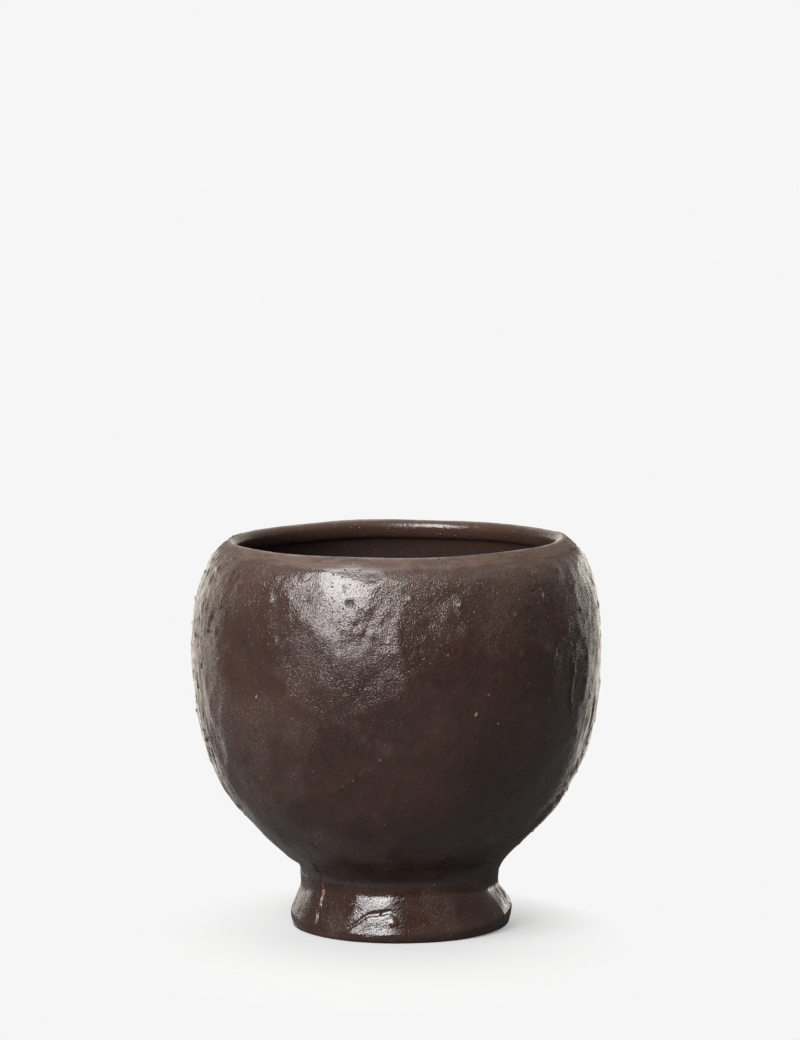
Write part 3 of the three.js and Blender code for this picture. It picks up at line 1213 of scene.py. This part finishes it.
class GlazeGroup:
    """The node group that gives the colour, gloss and relief of the glaze, which all four pieces share."""

    SOCKETS = (
        ("Deep", "INPUT", "Color"),
        ("Body", "INPUT", "Color"),
        ("Thin_and_lit", "INPUT", "Color"),
        ("Gloss", "INPUT", "Float"),
        ("Color", "OUTPUT", "Color"),
        ("Roughness", "OUTPUT", "Float"),
        ("Height", "OUTPUT", "Float"),
        ("Coat", "OUTPUT", "Float"),
    )
    KEPT = ("wear", "tint", "pit", "inner", "edge", "crest", "coarse", "rust", "haze_and_sheen")
    # A lighter, greyer brown painted inside the bowl for the light and the neutral reflection in its shaded
    # hollow.
    INSIDE_PAINTED_LIGHT: Colour = (0.0275, 0.0258, 0.0252)
    CREST_HIGHLIGHT: Colour = (0.21, 0.16, 0.13)
    GROG: Colour = (0.23, 0.175, 0.14)
    # The pale colour of a painted highlight along the lip's crest.
    RUST: Colour = (0.16, 0.06, 0.032)
    # The near black of painted shade in the pits.
    PIT_SHADE: Colour = (0.008, 0.005, 0.004)
    FLECKS: tuple[Colour, Colour] = ((0.1, 0.04, 0.016), (0.2, 0.145, 0.105))
    # The pale colour of painted glints.
    PAINTED_GLINT: Colour = (0.2, 0.165, 0.145)
    RUBBED: Colour = (0.03, 0.0165, 0.0125)

    def __init__(self) -> None:
        """Starts the group with its sockets, what the clay has kept for it, and the shared noises."""
        self.tree = bpy.data.node_groups.new("stoneware_glaze", "ShaderNodeTree")
        for label, way, kind in self.SOCKETS:
            self.tree.interface.new_socket(label, in_out=way, socket_type=f"NodeSocket{kind}")
        graph = self.graph = Graph(self.tree)
        self.given = graph.add("NodeGroupInput").outputs
        self.spot = graph.add("TexCoord").outputs["Object"]
        self.up = graph.add("SeparateXYZ", {0: self.spot}).outputs["Z"]
        self.kept = {name: graph.add("Attribute", attribute_name=name).outputs["Fac"] for name in self.KEPT}
        self.cloud = graph.span(graph.grain(self.spot, 22.0, 3.0, 0.55), 0.35, 0.65)
        self.mottle = graph.span(graph.grain(self.spot, 3.0, 3.0, 0.6), 0.3, 0.7)
        self.fine = graph.grain(self.spot, 0.32, 1.0, 0.5)
        self.stripe = graph.grain(graph.vector("MULTIPLY", self.spot, (0.07, 0.07, 1.0)), 0.7, 3.0, 0.65)

    def flecks(self) -> tuple[Socket, Socket]:
        """Scatters rusty and pale flecks.

        Returns:
            Where they are, and their colour.
        """
        graph = self.graph
        distance, chance = graph.cells(self.spot, 2.2)
        there = graph.math("LESS_THAN", distance, graph.span(chance[2], 0.0, 1.0, (0.05, 0.13)))
        return graph.times(there, graph.span(chance[0], 0.78, 0.785)), graph.blend(chance[1], *self.FLECKS)

    def colour(self) -> Socket:
        """The glaze's colour, from its depth to what lies on it and shows through it, with light and shade
        painted in.

        Returns:
            The colour.
        """
        graph, kept = self.graph, self.kept
        depth = graph.plus(graph.times(self.cloud, 0.65), graph.times(self.mottle, 0.4))
        # Mixed towards the lighter colour: thin glaze over proud bumps, painted light on the lip as where it is
        # lit from above, a painted sheen in the hazy places, and more towards the shoulder.
        thin_and_lit = graph.math(
            "MAXIMUM",
            graph.span(kept["wear"], 0.65, 1.0, (0.0, 0.3)),
            kept["edge"],
            graph.times(kept["haze_and_sheen"], 0.18),
            graph.span(self.up, 64.0 * MM, 80.0 * MM, (0.0, 0.3)),
        )
        # A painted highlight: a pale line along the lip's crest, broken up by the mottle.
        crest_highlight = graph.times(kept["crest"], graph.span(self.mottle, 0.2, 0.8, (0.35, 0.9)))
        # Painted glints: pale specks on the fine grain, more of them where the glaze is hazy.
        painted_glints = graph.times(graph.span(self.fine, 0.57, 0.74), graph.span(kept["haze_and_sheen"], 0.1, 0.9, (0.12, 0.42)))
        colour = graph.blend(depth, self.given["Deep"], self.given["Body"])
        for share, over in (
            (thin_and_lit, self.given["Thin_and_lit"]),
            (graph.times(kept["inner"], 0.75), self.INSIDE_PAINTED_LIGHT),
            (crest_highlight, self.CREST_HIGHLIGHT),
            (graph.span(kept["tint"], 0.35, 0.6), self.GROG),
            (graph.span(kept["rust"], 0.15, 0.8), self.RUST),
            # Painted shade in the pits.
            (graph.span(kept["pit"], 0.3, 0.8, (0.0, 0.85)), self.PIT_SHADE),
            self.flecks(),
            (painted_glints, self.PAINTED_GLINT),
            (graph.times(kept["edge"], graph.span(self.stripe, 0.49, 0.58, (0.0, 0.6))), self.RUBBED),
        ):
            colour = graph.blend(share, colour, over)
        return colour

    def roughness(self) -> Socket:
        """The glaze's roughness, which grows with the haze, in the pits and on the rubbed lip.

        Returns:
            The roughness.
        """
        graph, kept = self.graph, self.kept
        return graph.plus(
            self.given["Gloss"],
            graph.span(self.cloud, 0.0, 1.0, (0.05, -0.04)),
            graph.span(self.fine, 0.3, 0.7, (-0.04, 0.06)),
            graph.times(kept["edge"], 0.45),
            graph.times(kept["haze_and_sheen"], 0.12),
            graph.times(kept["pit"], 0.4),
        )

    def relief(self) -> Socket:
        """The finest relief: grit, the lip's lines, a leathery peel, sand and pinholes.

        Returns:
            The height for the bump.
        """
        graph, kept, spot = self.graph, self.kept, self.spot
        grit = graph.span(kept["coarse"], 0.05, 0.5, (0.3, 1.5))
        grit = graph.times(self.fine, grit, graph.span(kept["edge"], 0.0, 1.0, (1.0, 0.4)))
        lines = graph.times(self.stripe, kept["edge"], 3.4)
        leather = graph.plus(graph.grain(spot, 0.34, 2.0, 0.55), graph.times(graph.grain(spot, 0.8), 0.6))
        leather = graph.times(leather, kept["coarse"], 2.3)
        distance, chance = graph.cells(spot, 0.62)
        sand = graph.times(graph.span(chance[0], 0.3, 0.9), graph.span(distance, 0.0, 0.5, (1.0, 0.0)))
        sand = graph.times(sand, graph.span(kept["haze_and_sheen"], 0.0, 1.0, (0.15, 0.75)))
        distance, chance = graph.cells(spot, 1.1)
        hole = graph.times(graph.span(chance[1], 0.5, 0.52), graph.span(distance, 0.06, 0.2, (-1.5, 0.0)))
        rough = graph.span(kept["coarse"], 0.0, 0.05)
        hole = graph.times(hole, rough, graph.span(self.up, 56.0 * MM, 70.0 * MM))
        return graph.plus(grit, lines, leather, sand, graph.times(graph.grain(spot, 0.6, 1.0), 0.35), hole)

    def build(self) -> bpy.types.NodeTree:
        """Fills the group.

        Returns:
            The group.
        """
        made = {"Color": self.colour(), "Roughness": self.roughness(), "Height": self.relief()}
        veil = self.graph.span(self.kept["haze_and_sheen"], 0.0, 1.0, (0.02, 0.26))
        self.graph.add("NodeGroupOutput", {**made, "Coat": veil})
        return self.tree


@dataclass(frozen=True)
class Glaze:
    """One finish: the glaze where it lies thick, at its usual depth, and a lighter colour, for thin glaze over
    proud bumps and for painted light on the lip and in the hazy places.
    """

    name: str
    deep: Colour
    body: Colour
    thin_and_lit: Colour
    gloss: float
    peel: float
    peel_depth: float = 0.09
    ior: float = 1.54
    veil_roughness: float = 0.5

    def material(self, group: bpy.types.NodeTree) -> bpy.types.Material:
        """Builds the material.

        Args:
            group: The glaze's shared node group.

        Returns:
            The material.
        """
        made = bpy.data.materials.new(self.name)
        made.use_nodes = True
        graph = Graph(made.node_tree)
        coat = graph.add("Group", node_tree=group)
        for key, colour in (("Deep", self.deep), ("Body", self.body), ("Thin_and_lit", self.thin_and_lit)):
            coat.inputs[key].default_value = (*colour, 1.0)
        coat.inputs["Gloss"].default_value = self.gloss
        height = {"Height": coat.outputs["Height"], "Strength": self.peel, "Distance": self.peel_depth * MM}
        bump = graph.add("Bump", height)
        shader = made.node_tree.nodes["Principled BSDF"]
        shader.inputs["IOR"].default_value = self.ior
        shader.inputs["Coat Roughness"].default_value = self.veil_roughness
        for socket, key in (("Base Color", "Color"), ("Roughness", "Roughness"), ("Coat Weight", "Coat")):
            made.node_tree.links.new(coat.outputs[key], shader.inputs[socket])
        made.node_tree.links.new(bump.outputs[0], shader.inputs["Normal"])
        return made


BROWN = ((0.021, 0.0092, 0.007), (0.04, 0.018, 0.0139), (0.088, 0.052, 0.039))
SLIP_BROWN = ((0.028, 0.0185, 0.017), (0.046, 0.03, 0.027), (0.064, 0.041, 0.034))
FINISHES = {
    Node.BOWL: (Slot.GLAZE, Glaze("bowl_glaze", *BROWN, 0.135, 1.0)),
    Node.LIP: (Slot.LIP, Glaze("lip_glaze", *BROWN, 0.17, 1.0)),
    Node.FOOT: (Slot.GLAZE, Glaze("foot_glaze", *BROWN, 0.11, 1.3)),
    Node.COLLAR: (Slot.SLIP, Glaze("slip_glaze", *SLIP_BROWN, 0.2, 0.9)),
}


@dataclass(frozen=True)
class Lamp:
    """An oval soft light: its angle from the front to the right, elevation, distance, size and brightness.

    Angles are in degrees and lengths in metres. A radiance of 1 is a white surface in plain light.
    """

    name: str
    angle: float
    elevation: float
    reach: float
    size: Point
    radiance: float

    def hang(self, aim: float) -> None:
        """Hangs the light.

        Args:
            aim: Height of the point on the cup's axis that it faces, in metres.
        """
        deselect()
        target = Vector((0.0, 0.0, aim))
        stand = target + Vector(direction(self.angle, self.elevation)) * self.reach
        bpy.ops.object.light_add(type="AREA", location=stand)
        light = bpy.context.active_object
        light.name = self.name
        light.rotation_euler = (target - stand).to_track_quat("-Z", "Y").to_euler()
        light.data.shape = "ELLIPSE"
        light.data.size, light.data.size_y = self.size
        light.data.energy = self.radiance * math.pi * math.pi * self.size[0] * self.size[1] / 4


@dataclass
class Studio:
    """A pale seamless room with a large soft light at the left of the camera."""

    pale: float = 0.92
    dim: float = 0.02
    warm: Colour = (1.0, 0.93, 0.83)
    floor_size: float = 8.0
    floor_mirrored: Colour = (0.17, 0.17, 0.17)
    floor_seen: Colour = (0.655, 0.665, 0.677)
    paper: float = 2.1
    paper_half: float = 44.0
    paper_clear: Range = (0.07, 0.13)
    pool: Triple = (-0.004, -0.024, 0.0)
    pool_squeeze: Triple = (1.25, 1.0, 1.0)
    pool_fade: Range = (0.022, 0.07)
    aim: float = 0.045
    lamps: tuple[Lamp, ...] = (
        Lamp("softbox", -28.0, 36.0, 1.0, (0.8, 0.9), 4.8),
        Lamp("softbox_core", -33.0, 34.0, 0.99, (0.37, 0.76), 13.0),
    )
    camera_back: float = 1000.0
    camera_height: float = 199.3
    camera_pitch: float = 6.25
    camera_yaw: float = 0.05
    focal: float = 158.3

    def floor(self) -> None:
        """Lays the floor: pale to the camera, and shaded where the cup keeps the light off it."""
        deselect()
        bpy.ops.mesh.primitive_plane_add(size=self.floor_size, location=(0.0, 0.0, -0.1 * MM))
        floor = bpy.context.active_object
        floor.name = "floor"
        made = bpy.data.materials.new("pale_floor")
        made.use_nodes = True
        made.node_tree.nodes.clear()
        graph = Graph(made.node_tree)
        seen = graph.add("LightPath").outputs["Is Camera Ray"]
        lit = graph.add("BsdfDiffuse", {"Color": graph.blend(seen, self.floor_mirrored, self.floor_seen)})
        plain = graph.add("Emission", {"Color": (self.pale, self.pale, self.pale, 1.0)})
        paper = graph.add("Emission", {"Color": (*self.warm, 1.0), "Strength": self.paper})
        spot = graph.add("TexCoord").outputs["Object"]
        way = graph.add("SeparateXYZ", {0: graph.vector("NORMALIZE", spot)}).outputs
        clear = graph.span(graph.vector("LENGTH", spot, output="Value"), *self.paper_clear)
        glow = graph.times(self.backdrop(graph, way), clear)
        other = graph.add("MixShader", {0: glow, 1: lit.outputs[0], 2: paper.outputs[0]})
        pool = graph.vector("MULTIPLY", graph.vector("SUBTRACT", spot, self.pool), self.pool_squeeze)
        share = graph.span(graph.vector("LENGTH", pool, output="Value"), *self.pool_fade)
        near = graph.add("MixShader", {0: share, 1: lit.outputs[0], 2: plain.outputs[0]})
        mix = graph.add("MixShader", {0: seen, 1: other.outputs[0], 2: near.outputs[0]})
        graph.add("OutputMaterial", {"Surface": mix.outputs[0]})
        floor.data.materials.append(made)

    def backdrop(self, graph: Graph, way: bpy.types.NodeOutputs) -> Socket:
        """How far a direction, as X, Y and Z, points at the bright paper behind the cup, from 0 to 1."""
        half = math.cos(math.radians(self.paper_half))
        return graph.span(way["Y"], half - 0.04, half + 0.05)

    def room(self) -> None:
        """Lights the room from all round, pale behind the cup and dim behind the camera."""
        world = bpy.data.worlds.new("room")
        bpy.context.scene.world = world
        world.use_nodes = True
        world.node_tree.nodes.clear()
        graph = Graph(world.node_tree)
        way = graph.add("SeparateXYZ", {0: graph.add("TexCoord").outputs["Generated"]}).outputs
        back = graph.times(self.backdrop(graph, way), graph.span(way["Z"], 0.0, 0.15, (1.0, 0.14)), 2.9)
        behind = graph.span(way["Y"], -0.1, 0.6, (self.dim, 0.2))
        above = graph.span(way["Z"], 0.4, 0.95, (0.0, 0.72))
        low = graph.span(way["Z"], -0.1, 0.2, (1.0, 0.2))
        card = graph.times(graph.span(way["X"], -0.55, -0.85, (0.0, 0.32)), low)
        fill = graph.times(graph.span(way["X"], 0.45, 0.85, (0.0, 0.2)), graph.span(way["Z"], 0.0, 0.3))
        seen = graph.add("LightPath").outputs["Is Camera Ray"]
        level = graph.plus(back, behind, above, card, fill)
        level = graph.add("Mix", {"Factor": seen, "A": level, "B": self.pale}).outputs[0]
        tone = graph.blend(seen, self.warm, (1.0, 1.0, 1.0))
        glow = graph.add("Background", {"Color": tone, "Strength": level})
        graph.add("OutputWorld", {"Surface": glow.outputs[0]})

    def camera(self) -> None:
        """Sets the camera where the photograph was taken from."""
        bpy.ops.object.camera_add(location=(0.0, -self.camera_back * MM, self.camera_height * MM))
        camera = bpy.context.active_object
        camera.rotation_euler = (math.radians(90.0 - self.camera_pitch), 0.0, math.radians(-self.camera_yaw))
        camera.data.lens = self.focal
        camera.data.sensor_width = 36.0
        bpy.context.scene.camera = camera

    def build(self) -> None:
        """Builds the floor, the room, the lights and the camera."""
        self.floor()
        self.room()
        for lamp in self.lamps:
            lamp.hang(self.aim)
        self.camera()
        bpy.context.scene.view_settings.view_transform = "Standard"


def main() -> None:
    """Builds the cup and the studio, and reports each piece."""
    logging.basicConfig(level=logging.INFO, format="%(name)s: %(message)s")
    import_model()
    foot = FootRing()
    collar = SlipCollar(foot)
    bowl = Bowl(collar)
    clay = Clay(foot, collar, bowl, Lip(bowl))
    clay.spin()
    clay.mark_pieces()
    clay.form()
    group = GlazeGroup().build()
    for node, piece in clay.part().items():
        slot, finish = FINISHES[node]
        piece.data.materials.clear()
        piece.data.materials.append(finish.material(group))
        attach(piece, BODY)
        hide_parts(node.value)
        LOG.info("%s stands for %s", piece.name, node.value)
    Studio().build()


if __name__ == "__main__":
    main()
